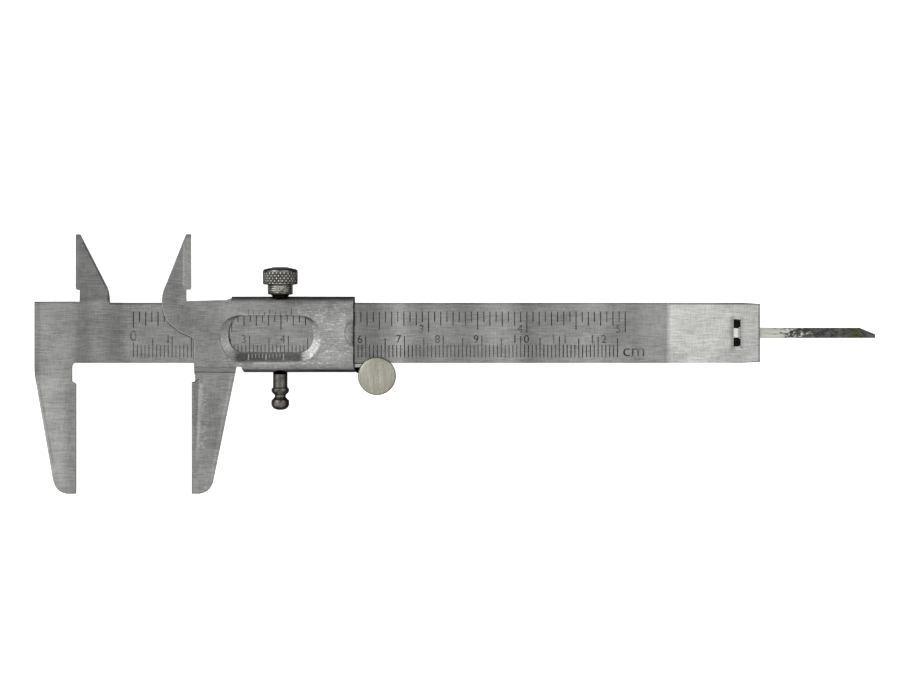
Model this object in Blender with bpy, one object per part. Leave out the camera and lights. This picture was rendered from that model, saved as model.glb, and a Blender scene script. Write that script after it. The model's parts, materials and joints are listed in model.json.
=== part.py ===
"""Vernier caliper of stamped steel, lying on its back with its jaws partly open.

Sizes in this file are millimetres, and the scene is in metres.  X runs along the
beam, away from the fixed measuring face.  Y runs across the beam, towards the
inside jaws.  Z is up from the surface that the caliper lies on.  Everything on
the beam is drawn from the fixed measuring face, and everything on the slider
from the moving measuring face, so OPENING alone moves the slider.
"""

import math

import bmesh
import bpy
from mathutils import Matrix, Vector

MM = 0.001

# Driving sizes
OPENING = 30.0
BEAM_WIDTH = 15.6
BEAM_THICKNESS = 3.0
BEAM_END = 176.8
HEAD_WIDTH = 10.6
JAW_DEPTH = 41.6
INSIDE_JAW_REACH = 25.5
SHEET = 1.2
FACE_GAP = 0.1
ROD_WIDTH = 2.65
ROD_LENGTH = 142.8
KNOB_RADIUS = 4.55
SCREW_X = 22.85
ROLLER_X = 47.9
ROLLER_Y = -11.15
ROLLER_RADIUS = 4.95

# Levels above the table
MID = KNOB_RADIUS
BEAM_BACK = MID - BEAM_THICKNESS / 2
BEAM_FRONT = MID + BEAM_THICKNESS / 2
PLATE_BACK = BEAM_FRONT + FACE_GAP
PLATE_FRONT = PLATE_BACK + SHEET
LIP_FRONT = BEAM_BACK - FACE_GAP
LIP_BACK = LIP_FRONT - SHEET
STRAP_FRONT = LIP_BACK - FACE_GAP
STRAP_BACK = STRAP_FRONT - 0.8
RIVET_SEAT = STRAP_BACK - 0.05
RIVET_BACK = RIVET_SEAT - 0.45

# Beam
EDGE = BEAM_WIDTH / 2
HEAD_TOP = 8.1
INSIDE_STEP = 1.1
OUTSIDE_STEP = 1.05
END_TAPER = 0.28
TAPER_START = 172.0
GROOVE_START = 20.0
GROOVE_WIDTH = 2.9
GROOVE_DEPTH = 1.6
SLOT_X = 170.9
SLOT_WIDTH = 1.8
SLOT_LENGTH = 7.0

# Slider, from its own measuring face
FLANGE_TOP = 9.4
FLANGE_BOTTOM = -10.2
BEND_RADIUS = 2.2
LIP_BEND_RADIUS = 1.3
TOP_FLANGE_START = 10.4
BOTTOM_FLANGE_START = 13.0
FLANGE_END = 42.15
PLATE_END = 41.75
LIP_WIDTH = 4.2
CREASE_Y = -10.3
CREASE_RUN = 1.6
MEASURING_FLANGE = 1.2

# Window in the front plate: (left, right, bottom, top, corner radius)
WINDOW_EDGE = (9.55, 31.5, -5.3, 4.45, 4.2)
WINDOW_RIM = (6.9, 33.6, -7.4, 4.55, 5.8)
WINDOW_LIP = 0.25

# Depth rod
ROD_BACK = BEAM_BACK + 0.05
ROD_FRONT = BEAM_BACK + 1.4
ROD_START = 34.0
ROD_TIP = ROD_START + ROD_LENGTH
ROD_RIVETS = (35.6, 39.4)

# Screw, pin and roller details
SCREW_HOLE = 2.3
PIN_RADIUS = 1.9
PIN_HOLE = 2.05
SPIGOT_RADIUS = 0.7
GIB_FRONT_EDGE = -7.97
GIB_BACK_EDGE = -8.9
GIB_END = 44.5
HUB_RADIUS = 3.3
JOURNAL_RADIUS = 1.5
JOURNAL_HOLE = 1.62
CLIP_GROOVE_RADIUS = 1.1
RIVET_SHANK = 0.7
RIVET_HEAD = 1.15
RIVET_HOLE = 0.8
CARRIER_RIVETS = ((17.5, 7.2), (37.5, 7.2), (17.5, -6.3), (37.5, -6.3))
ARM_RIVETS = ((27.5, -8.9), (36.0, -8.9))
ARM_TOP = -7.7


# ---------------------------------------------------------------- helpers

def clear_scene():
    """Start from an empty scene."""
    for old in list(bpy.data.objects):
        bpy.data.objects.remove(old, do_unlink=True)


def steel(name, colour, roughness, metallic=1.0):
    """A Principled material with one base colour."""
    mat = bpy.data.materials.new(name)
    mat.use_nodes = True
    shader = mat.node_tree.nodes["Principled BSDF"]
    shader.inputs["Base Color"].default_value = (*colour, 1.0)
    shader.inputs["Roughness"].default_value = roughness
    shader.inputs["Metallic"].default_value = metallic
    return mat


def empty(name, place, parent=None):
    """A reference point that pieces hang from."""
    obj = bpy.data.objects.new(name, None)
    obj.location = Vector(place) * MM
    obj.parent = parent
    bpy.context.collection.objects.link(obj)
    return obj


def piece(name, bm, parent, mat=None, smooth=False):
    """Turn a bmesh in millimetres into an object; without a material it is a cutter."""
    bmesh.ops.recalc_face_normals(bm, faces=bm.faces)
    if bm.calc_volume(signed=True) < 0:
        bmesh.ops.reverse_faces(bm, faces=bm.faces)
    bmesh.ops.scale(bm, vec=(MM, MM, MM), verts=bm.verts)
    mesh = bpy.data.meshes.new(name)
    bm.to_mesh(mesh)
    bm.free()
    obj = bpy.data.objects.new(name, mesh)
    obj.parent = parent
    bpy.context.collection.objects.link(obj)
    if mat is None:
        obj.hide_render = True
        obj.display_type = "WIRE"
    else:
        mesh.materials.append(mat)
    if smooth:
        mesh.shade_smooth()
        mesh.set_sharp_from_angle(angle=math.radians(35))
    return obj


def combine(obj, other, operation):
    """Cut, join or intersect obj with another object."""
    modifier = obj.modifiers.new(operation.lower(), "BOOLEAN")
    modifier.operation = operation
    modifier.solver = "EXACT"
    modifier.object = other


def arc(centre, radius, start, end, steps):
    """Points on an arc, angles in degrees."""
    points = []
    for i in range(steps + 1):
        angle = math.radians(start + (end - start) * i / steps)
        points.append((centre[0] + radius * math.cos(angle), centre[1] + radius * math.sin(angle)))
    return points


def bezier(p0, p1, p2, p3, steps):
    """Points on a cubic curve from p0 to p3."""
    points = []
    for i in range(steps + 1):
        t = i / steps
        a, b, c, d = (1 - t) ** 3, 3 * t * (1 - t) ** 2, 3 * t * t * (1 - t), t ** 3
        points.append(tuple(a * p0[k] + b * p1[k] + c * p2[k] + d * p3[k] for k in (0, 1)))
    return points


def plate(outline, low, high):
    """A closed outline in X and Y, extruded from one level to another."""
    bm = bmesh.new()
    face = bm.faces.new([bm.verts.new((x, y, low)) for x, y in outline])
    raised = bmesh.ops.extrude_face_region(bm, geom=[face])
    verts = [item for item in raised["geom"] if isinstance(item, bmesh.types.BMVert)]
    bmesh.ops.translate(bm, vec=(0, 0, high - low), verts=verts)
    return bm


def box(x0, x1, y0, y1, z0, z1):
    """A rectangular block."""
    return plate([(x0, y0), (x1, y0), (x1, y1), (x0, y1)], z0, z1)


def section_bar(section, x0, x1):
    """A closed section in Y and Z, extruded along X."""
    bm = plate(section, x0, x1)
    turn = Matrix(((0, 0, 1, 0), (1, 0, 0, 0), (0, 1, 0, 0), (0, 0, 0, 1)))
    bmesh.ops.transform(bm, matrix=turn, verts=bm.verts)
    return bm


def turned(profile, segments, closed=False):
    """A solid of revolution about Z from (radius, height) points."""
    bm = bmesh.new()
    rings = []
    for radius, height in profile:
        ring = []
        for i in range(segments):
            angle = math.tau * i / segments
            ring.append(bm.verts.new((radius * math.cos(angle), radius * math.sin(angle), height)))
        rings.append(ring)
    pairs = list(zip(rings, rings[1:]))
    if closed:
        pairs.append((rings[-1], rings[0]))
    else:
        bm.faces.new(rings[0])
        bm.faces.new(rings[-1])
    for lower, upper in pairs:
        for i in range(segments):
            j = (i + 1) % segments
            bm.faces.new((lower[i], lower[j], upper[j], upper[i]))
    return bm


def lay_along_y(bm):
    """Turn a solid that was drawn along Z so that it runs along Y."""
    bmesh.ops.rotate(bm, matrix=Matrix.Rotation(math.radians(-90), 3, "X"), verts=bm.verts)
    return bm


def drill(obj, name, centres, radius, low, high, parent, segments=24):
    """Round holes along Z."""
    for number, (x, y) in enumerate(centres, 1):
        bm = turned([(radius, low), (radius, high)], segments)
        bmesh.ops.translate(bm, vec=(x, y, 0), verts=bm.verts)
        combine(obj, piece(f"cut_{name}_{number}", bm, parent), "DIFFERENCE")


def bore_y(obj, name, radius, low, high, parent, segments=32):
    """A round hole along Y through the screw's axis."""
    bm = lay_along_y(turned([(radius, low), (radius, high)], segments))
    bmesh.ops.translate(bm, vec=(SCREW_X, 0, MID), verts=bm.verts)
    combine(obj, piece(f"cut_{name}", bm, parent), "DIFFERENCE")


def edge_bevel(start, end, widths, depth, surface, inward):
    """A wedge that takes the corner off a straight edge of a plate's front face."""
    over = 0.4
    side = Vector(inward).normalized()
    bm = bmesh.new()
    ends = []
    for point, width in zip((start, end), widths):
        edge = Vector(point)
        near = edge + side * width * (1 + over)
        far = edge - side * width * over
        up = surface + depth * over
        down = surface - depth * (1 + over)
        ends.append([bm.verts.new((near.x, near.y, up)),
                     bm.verts.new((far.x, far.y, down)),
                     bm.verts.new((far.x, far.y, up))])
    bm.faces.new(ends[0])
    bm.faces.new(ends[1])
    for i in range(3):
        j = (i + 1) % 3
        bm.faces.new((ends[0][i], ends[0][j], ends[1][j], ends[1][i]))
    return bm


# ---------------------------------------------------------------- beam

def beam_outline():
    """Beam with both fixed jaws, counter-clockwise from the end's lower corner."""
    points = [(TAPER_START, -EDGE), (BEAM_END, -EDGE + END_TAPER), (BEAM_END, EDGE - END_TAPER),
              (TAPER_START, EDGE), (8.7, EDGE)]
    points += bezier((8.7, 8.4), (8.6, 10.0), (8.45, 11.0), (7.95, 12.0), 6)
    points += [(1.4, 24.9), (1.1, INSIDE_JAW_REACH), (0.0, INSIDE_JAW_REACH), (0.0, 11.5),
               (0.3, 11.1), (INSIDE_STEP, 11.1), (INSIDE_STEP, HEAD_TOP), (-HEAD_WIDTH, HEAD_TOP)]
    points += bezier((-HEAD_WIDTH, -8.5), (-HEAD_WIDTH, -11.0), (-10.3, -12.3), (-9.95, -14.2), 5)
    points += bezier((-5.8, -38.0), (-5.43, -39.7), (-4.58, -41.3), (-2.1, -JAW_DEPTH), 8)
    points += [(0.0, -JAW_DEPTH), (0.0, -13.2), (-OUTSIDE_STEP, -12.55)]
    points += bezier((-OUTSIDE_STEP - 0.05, -9.3), (-1.1, -8.5), (-0.85, -EDGE), (-0.3, -EDGE), 6)
    return points


def make_beam(datum, mat):
    """The beam bar with its groove, end slot and ground jaw edges."""
    beam = piece("beam", plate(beam_outline(), BEAM_BACK, BEAM_FRONT), datum, mat)
    half = GROOVE_WIDTH / 2
    groove = box(GROOVE_START, BEAM_END + 1, -half, half, BEAM_BACK - 1, BEAM_BACK + GROOVE_DEPTH)
    combine(beam, piece("cut_groove", groove, datum), "DIFFERENCE")
    slot = box(SLOT_X - SLOT_WIDTH / 2, SLOT_X + SLOT_WIDTH / 2, -SLOT_LENGTH / 2, SLOT_LENGTH / 2,
               BEAM_BACK - 1, BEAM_FRONT + 1)
    combine(beam, piece("cut_slot", slot, datum), "DIFFERENCE")
    outer = edge_bevel((-10.25, -12.6), (-5.55, -39.6), (0.95, 0.7), 0.15, BEAM_FRONT, (0.985, 0.173))
    combine(beam, piece("cut_jaw_bevel", outer, datum), "DIFFERENCE")
    knife = edge_bevel((0.0, 11.0), (0.0, 26.5), (1.15, 1.15), 0.7, BEAM_FRONT, (1.0, 0.0))
    combine(beam, piece("cut_knife_bevel", knife, datum), "DIFFERENCE")


def make_keeper(datum, mat):
    """U-shaped clip that holds the depth rod in its groove: a bridge and two legs."""
    section = [(-4.6, 2.0), (4.6, 2.0), (4.6, LIP_FRONT), (3.35, LIP_FRONT), (3.35, 5.6), (1.45, 5.6),
               (1.45, LIP_FRONT), (-1.45, LIP_FRONT), (-1.45, 5.6), (-3.35, 5.6), (-3.35, LIP_FRONT),
               (-4.6, LIP_FRONT)]
    clip = section_bar(section, SLOT_X - 0.75, SLOT_X + 0.75)
    piece("depth_rod_keeper", clip, datum, mat)


# ---------------------------------------------------------------- slider

def front_plate_outline():
    """Front plate with the inside jaw, clockwise from the jaw's tip."""
    points = [(-1.3, INSIDE_JAW_REACH), (0.0, INSIDE_JAW_REACH), (0.0, 11.5), (-0.3, 11.1), (-1.25, 11.1),
              (-1.25, 8.2), (9.0, 8.5), (TOP_FLANGE_START, 9.0), (TOP_FLANGE_START, 7.0),
              (PLATE_END, 7.0), (PLATE_END, -7.8), (BOTTOM_FLANGE_START + 0.5, -7.8),
              (BOTTOM_FLANGE_START + 0.5, -8.3), (12.9, -8.85), (12.2, -8.75), (11.55, -8.85), (11.55, -7.95),
              (0.7, -7.95)]
    points += bezier((0.7, -2.6), (0.7, -0.5), (-1.0, -1.1), (-3.1, 0.36), 8)
    points += bezier((-5.2, 2.0), (-8.45, 5.0), (-7.95, 9.9), (-6.4, 12.8), 10)
    points += [(-1.9, 24.2)]
    return points


def outside_jaw_outline():
    """Moving outside jaw seen from the front, below the beam."""
    points = [(0.7, -7.4), (11.55, -7.4), (11.55, -9.0)]
    points += bezier((5.64, -38.0), (5.3, -39.7), (4.45, -41.3), (2.0, -JAW_DEPTH), 8)
    points += [(0.0, -JAW_DEPTH), (0.0, -12.85), (0.3, -12.6), (0.9, -12.5), (0.9, -10.9), (0.7, -10.7)]
    return points


def joggled_sheet():
    """Section of the sheet that steps from the front plate's level back into the beam's."""
    top = CREASE_Y + CREASE_RUN
    back_shift = 0.5
    return [(-7.0, PLATE_FRONT), (top, PLATE_FRONT), (CREASE_Y, BEAM_FRONT), (-45.0, BEAM_FRONT),
            (-45.0, BEAM_FRONT - SHEET), (CREASE_Y + back_shift, BEAM_FRONT - SHEET),
            (top + back_shift, PLATE_BACK), (-7.0, PLATE_BACK)]


def quarter_bend(radius, steps):
    """Distances in from the two faces that a bend joins, from the sheet's front face round."""
    angles = [math.pi / 2 * i / steps for i in range(steps + 1)]
    return [(radius * (1 - math.sin(a)), radius * (1 - math.cos(a))) for a in angles]


def flange_section(side, outer, root):
    """Half of the folded channel: front sheet, flange and the lip behind the beam."""
    inner = outer - side * SHEET
    fold_front = [(outer - side * y, PLATE_FRONT - z)
                  for y, z in quarter_bend(BEND_RADIUS, 10)]
    fold_back = [(outer - side * y, LIP_BACK + z)
                 for y, z in reversed(quarter_bend(LIP_BEND_RADIUS, 6))]
    lip_edge = outer - side * LIP_WIDTH
    return ([(root, PLATE_FRONT)] + fold_front + fold_back
            + [(lip_edge, LIP_BACK), (lip_edge, LIP_FRONT), (inner, LIP_FRONT), (inner, PLATE_BACK),
               (root, PLATE_BACK)])


def rounded_rectangle(left, right, bottom, top, radius, steps=8):
    """Window outline with round corners."""
    points = arc((right - radius, top - radius), radius, 0, 90, steps)
    points += arc((left + radius, top - radius), radius, 90, 180, steps)
    points += arc((left + radius, bottom + radius), radius, 180, 270, steps)
    points += arc((right - radius, bottom + radius), radius, 270, 360, steps)
    return points


def window_cutter():
    """Straight opening at the sheet's back that widens into the pressed bevel at its front."""
    left, right, bottom, top, radius = WINDOW_EDGE
    edge = rounded_rectangle(left, right, bottom, top, min(radius, (top - bottom) / 2 - 0.01))
    rim = rounded_rectangle(*WINDOW_RIM)
    bend = PLATE_BACK + WINDOW_LIP
    over = 0.1
    beyond = [(r[0] + (r[0] - e[0]) * over, r[1] + (r[1] - e[1]) * over) for e, r in zip(edge, rim)]
    levels = [(edge, PLATE_BACK - 0.5), (edge, bend), (beyond, PLATE_FRONT + over * (PLATE_FRONT - bend))]
    bm = bmesh.new()
    rings = [[bm.verts.new((x, y, z)) for x, y in outline] for outline, z in levels]
    bm.faces.new(rings[0])
    bm.faces.new(rings[-1])
    for lower, upper in zip(rings, rings[1:]):
        for i in range(len(lower)):
            j = (i + 1) % len(lower)
            bm.faces.new((lower[i], lower[j], upper[j], upper[i]))
    return bm


def make_slider_shell(slider, mat):
    """The folded sheet: front plate, two channels, joggled jaw and folded measuring face."""
    shell = piece("slider_shell", plate(front_plate_outline(), PLATE_BACK, PLATE_FRONT), slider, mat)
    top = section_bar(flange_section(1, FLANGE_TOP, 6.3), TOP_FLANGE_START, FLANGE_END)
    combine(shell, piece("join_top_channel", top, slider), "UNION")
    bottom = section_bar(flange_section(-1, FLANGE_BOTTOM, -7.2), BOTTOM_FLANGE_START, FLANGE_END)
    channel = piece("join_bottom_channel", bottom, slider)
    corner = [(12.5, -8.95), (12.95, -9.2), (13.5, -10.0), (13.5, -11.0), (12.5, -11.0)]
    combine(channel, piece("cut_channel_corner", plate(corner, 0.0, 9.0), slider), "DIFFERENCE")
    combine(shell, channel, "UNION")
    jaw = piece("join_outside_jaw", section_bar(joggled_sheet(), -1.0, 13.0), slider)
    combine(jaw, piece("trim_outside_jaw", plate(outside_jaw_outline(), 0.0, 9.0), slider), "INTERSECT")
    combine(shell, jaw, "UNION")
    face = box(0.0, MEASURING_FLANGE, -JAW_DEPTH, -12.9, BEAM_BACK, BEAM_FRONT)
    combine(shell, piece("join_measuring_face", face, slider), "UNION")
    combine(shell, piece("cut_window", window_cutter(), slider), "DIFFERENCE")
    knife = edge_bevel((0.0, 11.0), (0.0, 26.5), (1.9, 1.9), 0.6, PLATE_FRONT, (-1.0, 0.0))
    combine(shell, piece("cut_inside_bevel", knife, slider), "DIFFERENCE")
    bore_y(shell, "screw_hole", SCREW_HOLE, 6.5, 11.0, slider)
    bore_y(shell, "pin_hole", PIN_HOLE, -11.5, -8.5, slider)
    rivets = CARRIER_RIVETS + ARM_RIVETS
    drill(shell, "lip_rivets", rivets, RIVET_HOLE, LIP_BACK - 0.3, LIP_FRONT + 0.3, slider, 16)


def make_rod_carrier(slider, mat):
    """Strap across the back lips, with a raised pad that the depth rod sits on."""
    outline = [(14.0, -7.4), (41.6, -7.4), (41.6, 8.2), (14.0, 8.2)]
    strap = piece("rod_carrier", plate(outline, STRAP_BACK, STRAP_FRONT), slider, mat)
    pad = box(33.6, 41.0, -2.4, 2.4, STRAP_BACK + 0.2, LIP_FRONT + 0.05)
    combine(strap, piece("join_rod_pad", pad, slider), "UNION")
    drill(strap, "carrier_rivets", CARRIER_RIVETS, RIVET_HOLE, 0.0, 2.2, slider, 16)
    drill(strap, "rod_rivets", [(x, 0.0) for x in ROD_RIVETS], RIVET_HOLE, 0.0, 3.5, slider, 16)


def make_rivet(name, x, y, tail, slider, mat):
    """Round-headed rivet pushed in from the back."""
    head = [(0.5, RIVET_BACK), (0.9, RIVET_BACK + 0.1), (RIVET_HEAD, RIVET_BACK + 0.3),
            (RIVET_HEAD, RIVET_SEAT)]
    bm = turned(head + [(RIVET_SHANK, RIVET_SEAT), (RIVET_SHANK, tail)], 16)
    rivet = piece(name, bm, slider, mat, smooth=True)
    rivet.location = Vector((x, y, 0)) * MM


def make_rivets(slider, mat):
    """Rivets for the rod carrier, the roller arm and the depth rod."""
    for number, (x, y) in enumerate(CARRIER_RIVETS, 1):
        make_rivet(f"carrier_rivet_{number}", x, y, LIP_FRONT - 0.05, slider, mat)
    for number, (x, y) in enumerate(ARM_RIVETS, 1):
        make_rivet(f"arm_rivet_{number}", x, y, LIP_FRONT - 0.05, slider, mat)
    for number, x in enumerate(ROD_RIVETS, 1):
        make_rivet(f"rod_rivet_{number}", x, 0.0, ROD_FRONT - 0.05, slider, mat)


def make_depth_rod(slider, mat):
    """Flat rod with its measuring tip ground to a slant on one side."""
    half = ROD_WIDTH / 2
    outline = [(ROD_START, -half), (ROD_TIP, -half), (ROD_TIP, -0.35), (ROD_TIP - 4.1, half),
               (ROD_START, half)]
    rod = piece("depth_rod", plate(outline, ROD_BACK, ROD_FRONT), slider, mat)
    drill(rod, "rod_holes", [(x, 0.0) for x in ROD_RIVETS], RIVET_HOLE, 2.5, 5.0, slider, 16)


# ---------------------------------------------------------------- thumb roller

def make_roller_arm(slider, mat):
    """Blackened strap on the lower back lip that reaches out to the roller."""
    outline = [(24.5, -10.05), (FLANGE_END - 0.1, -10.05), (FLANGE_END + 1.2, -10.7)]
    outline += arc((ROLLER_X, ROLLER_Y), 2.9, 200, 440, 18)
    outline += [(ROLLER_X - 1.0, ARM_TOP), (24.5, ARM_TOP)]
    arm = piece("roller_arm", plate(outline, STRAP_BACK, STRAP_FRONT), slider, mat)
    drill(arm, "arm_rivets", ARM_RIVETS, RIVET_HOLE, 0.0, 2.2, slider, 16)
    drill(arm, "journal_hole", [(ROLLER_X, ROLLER_Y)], JOURNAL_HOLE, 0.0, 2.2, slider)


def make_thumb_roller(roller, mat):
    """Disc for the thumb, a hub that runs on the beam's edge and a journal through the arm."""
    chamfer = 0.35
    disc_back = BEAM_FRONT + 0.15
    profile = [(JOURNAL_RADIUS, 0.05), (JOURNAL_RADIUS, 0.2), (CLIP_GROOVE_RADIUS, 0.2),
               (CLIP_GROOVE_RADIUS, 0.5), (JOURNAL_RADIUS, 0.5), (JOURNAL_RADIUS, 1.75),
               (HUB_RADIUS, 1.75), (HUB_RADIUS, disc_back), (ROLLER_RADIUS - chamfer / 2, disc_back),
               (ROLLER_RADIUS, disc_back + chamfer / 2), (ROLLER_RADIUS, PLATE_FRONT - chamfer),
               (ROLLER_RADIUS - chamfer, PLATE_FRONT)]
    piece("thumb_roller", turned(profile, 48), roller, mat, smooth=True)


def make_roller_retainers(slider, roller, washer_mat, clip_mat):
    """Washer against the arm's back and the open clip in the journal's groove."""
    ring = [(JOURNAL_HOLE, 0.55), (2.7, 0.55), (2.7, 0.75), (JOURNAL_HOLE, 0.75)]
    washer = piece("roller_washer", turned(ring, 32, closed=True), slider, washer_mat, smooth=True)
    washer.location = Vector((ROLLER_X, ROLLER_Y, 0)) * MM
    outline = arc((0, 0), 2.2, 35, 325, 20) + arc((0, 0), 1.2, 325, 35, 20)
    piece("roller_clip", plate(outline, 0.25, 0.45), roller, clip_mat)


# ---------------------------------------------------------------- lock screw and finger brake

def make_lock_screw(screw, mat):
    """Thumb screw: neck, ridged collar and domed knurled head, drawn along its axis."""
    profile = [(2.1, 8.75), (2.1, 9.58), (2.7, 9.58), (3.3, 9.95), (3.3, 12.45), (4.4, 12.45),
               (KNOB_RADIUS, 12.65), (KNOB_RADIUS, 16.05), (4.35, 16.45), (3.9, 16.65), (3.0, 16.85),
               (2.0, 17.0)]
    piece("lock_screw", lay_along_y(turned(profile, 48)), screw, mat, smooth=True)


def make_lock_pad(pad, mat):
    """Brass tip between the screw and the beam's edge."""
    profile = [(1.6, 7.95), (1.9, 8.15), (1.9, 8.65)]
    piece("lock_pad", lay_along_y(turned(profile, 32)), pad, mat, smooth=True)


def make_brake_pin(brake, mat):
    """Grooved finger pin, drawn along its axis from the domed end upwards."""
    profile = [(0.6, -19.95), (1.25, -19.82), (1.8, -19.5), (2.15, -19.05), (2.35, -18.55),
               (2.35, -17.5), (1.55, -16.6), (1.55, -16.3), (2.35, -15.35), (2.35, -14.5),
               (PIN_RADIUS, -14.1), (PIN_RADIUS, -9.0), (SPIGOT_RADIUS, -9.0), (SPIGOT_RADIUS, -8.15)]
    piece("brake_pin", lay_along_y(turned(profile, 40)), brake, mat, smooth=True)


def make_gib_strip(brake, mat):
    """Strip between the beam's lower edge and the bottom flange, located on the pin's spigot."""
    start = BOTTOM_FLANGE_START + 0.4 - SCREW_X
    end = GIB_END - SCREW_X
    strip = box(start, end, GIB_BACK_EDGE, GIB_FRONT_EDGE, BEAM_BACK + 0.15 - MID, BEAM_FRONT - 0.15 - MID)
    gib = piece("gib_strip", strip, brake, mat)
    hole = lay_along_y(turned([(SPIGOT_RADIUS + 0.15, -9.5), (SPIGOT_RADIUS + 0.15, -7.5)], 20))
    combine(gib, piece("cut_spigot_hole", hole, brake), "DIFFERENCE")


def main():
    """Build every piece under the empties of its body."""
    clear_scene()
    beam_steel = steel("beam_steel", (0.27, 0.27, 0.25), 0.38)
    slider_steel = steel("slider_steel", (0.29, 0.29, 0.27), 0.36)
    rod_steel = steel("rod_steel", (0.34, 0.34, 0.32), 0.3)
    gunmetal = steel("gunmetal", (0.07, 0.068, 0.062), 0.42)
    black_steel = steel("black_steel", (0.02, 0.02, 0.02), 0.5)
    nickel = steel("nickel", (0.45, 0.44, 0.38), 0.35)
    zinc = steel("zinc", (0.4, 0.4, 0.38), 0.4)
    brass = steel("brass", (0.55, 0.4, 0.16), 0.35)

    middle_x = (OPENING + ROD_TIP - HEAD_WIDTH) / 2
    middle_y = (INSIDE_JAW_REACH - JAW_DEPTH) / 2
    datum = empty("caliper_datum", (-middle_x, -middle_y, 0.0))
    slider = empty("slider_datum", (OPENING, 0.0, 0.0), datum)
    roller = empty("roller_axis", (ROLLER_X, ROLLER_Y, 0.0), slider)
    screw = empty("screw_axis", (SCREW_X, 0.0, MID), slider)
    brake = empty("brake_axis", (SCREW_X, 0.0, MID), slider)

    make_beam(datum, beam_steel)
    make_keeper(datum, black_steel)
    make_slider_shell(slider, slider_steel)
    make_rod_carrier(slider, slider_steel)
    make_rivets(slider, zinc)
    make_depth_rod(slider, rod_steel)
    make_roller_arm(slider, black_steel)
    make_thumb_roller(roller, nickel)
    make_roller_retainers(slider, roller, zinc, black_steel)
    make_lock_screw(screw, gunmetal)
    make_lock_pad(screw, brass)
    make_brake_pin(brake, gunmetal)
    make_gib_strip(brake, zinc)


main()
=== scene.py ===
"""Looks of the stamped-steel vernier caliper: engraving, knurl, worn metal, studio light.

Modelling is done in millimetres from the caliper's own datum: X from the fixed
measuring face, Y from the middle of the beam, Z from the table.  Each finished
mesh is then moved into the frame's metres.
"""

import json
import math

import bmesh
import bpy
from mathutils import Matrix, Vector


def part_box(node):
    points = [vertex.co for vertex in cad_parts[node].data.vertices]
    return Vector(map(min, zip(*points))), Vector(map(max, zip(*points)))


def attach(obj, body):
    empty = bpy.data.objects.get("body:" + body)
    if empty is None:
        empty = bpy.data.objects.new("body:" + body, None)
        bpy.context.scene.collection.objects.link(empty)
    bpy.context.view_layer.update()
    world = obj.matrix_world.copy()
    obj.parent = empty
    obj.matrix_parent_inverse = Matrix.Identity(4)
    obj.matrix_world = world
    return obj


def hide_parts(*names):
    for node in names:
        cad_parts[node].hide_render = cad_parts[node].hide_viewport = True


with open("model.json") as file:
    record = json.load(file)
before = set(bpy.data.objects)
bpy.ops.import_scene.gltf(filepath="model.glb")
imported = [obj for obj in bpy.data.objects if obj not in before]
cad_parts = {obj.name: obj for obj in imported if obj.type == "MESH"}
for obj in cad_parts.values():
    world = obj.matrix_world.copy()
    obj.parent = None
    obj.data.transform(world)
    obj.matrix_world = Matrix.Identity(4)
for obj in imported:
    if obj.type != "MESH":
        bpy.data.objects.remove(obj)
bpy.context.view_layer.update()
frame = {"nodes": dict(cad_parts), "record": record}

MM = 0.001
MOUNTS = {mount["name"]: mount["pos_m"] for mount in frame["record"]["mounts"]}
FACE_X = MOUNTS["fixed_outside_jaw_face"][0]
MIDDLE_Y = sum(corner.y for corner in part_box("depth_rod")) / 2
DATUM = Vector((FACE_X, MIDDLE_Y, 0.0))
TO_FRAME = Matrix.Translation(DATUM) @ Matrix.Scale(MM, 4)
TO_DATUM = TO_FRAME.inverted()


def box_mm(node):
    """Lowest and highest corner of a CAD node, in datum millimetres."""
    low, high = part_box(node)
    return TO_DATUM @ low, TO_DATUM @ high


SHELL_LOW, SHELL_HIGH = box_mm("slider_shell")
SCREW_LOW, SCREW_HIGH = box_mm("lock_screw")
ROLLER_LOW, ROLLER_HIGH = box_mm("thumb_roller")
OPENING = (MOUNTS["moving_outside_jaw_face"][0] - FACE_X) / MM
BEAM_FACE = box_mm("beam")[1].z
PLATE_FACE = SHELL_HIGH.z
SCREW_X = (SCREW_LOW.x + SCREW_HIGH.x) / 2
SCREW_Z = (SCREW_LOW.z + SCREW_HIGH.z) / 2
ROLLER_X = (ROLLER_LOW.x + ROLLER_HIGH.x) / 2
ROLLER_Y = (ROLLER_LOW.y + ROLLER_HIGH.y) / 2

# Corners of a CAD mesh closer than this, in millimetres, are one
WELD_REACH = 0.002

# Material slots of the engraved pieces; the ink slot is also painted shade on the slider's dark
# strips, its slanted end and the relief line
STEEL, INK_AND_SHADE, PALE = 0, 1, 2

# Scales on the beam; line ends are keyed by the largest step that divides the line's number
ZERO_X = 15.0
INCH = 25.4
TICK_WIDTH = 0.25
TICK_DEPTH = 0.12
MM_FOOT = -6.3
MM_TOPS = {1: -3.1, 5: -1.4, 10: -0.9}
MM_RANGE = 125
ZERO_TOP = -2.4
ZERO_FOOT = 1.35
INCH_HEAD = 5.5
INCH_FEET = {1: 2.8, 2: 1.85, 8: 0.85, 16: 0.1}
INCH_RANGE = 5
BEAM_EDGE = 0.24

# Numerals and unit mark: heights and places across the beam, offsets along it from their line
DIGIT_HEIGHT = 2.05
DIGIT_DEPTH = 0.1
ZERO_HEIGHT = 2.7
ZERO_Y = -0.75
CM_DIGIT_Y = -1.6
CM_DIGIT_OFFSETS = (-1.5, 1.5)
FIRST_CM_OFFSET = -1.05
INCH_DIGIT_Y = 1.05
INCH_DIGIT_OFFSET = -1.8
UNIT_HEIGHT = 2.1
UNIT_PLACE = (129.2, -5.0)
UNIT_SQUEEZE = 1.1

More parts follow.
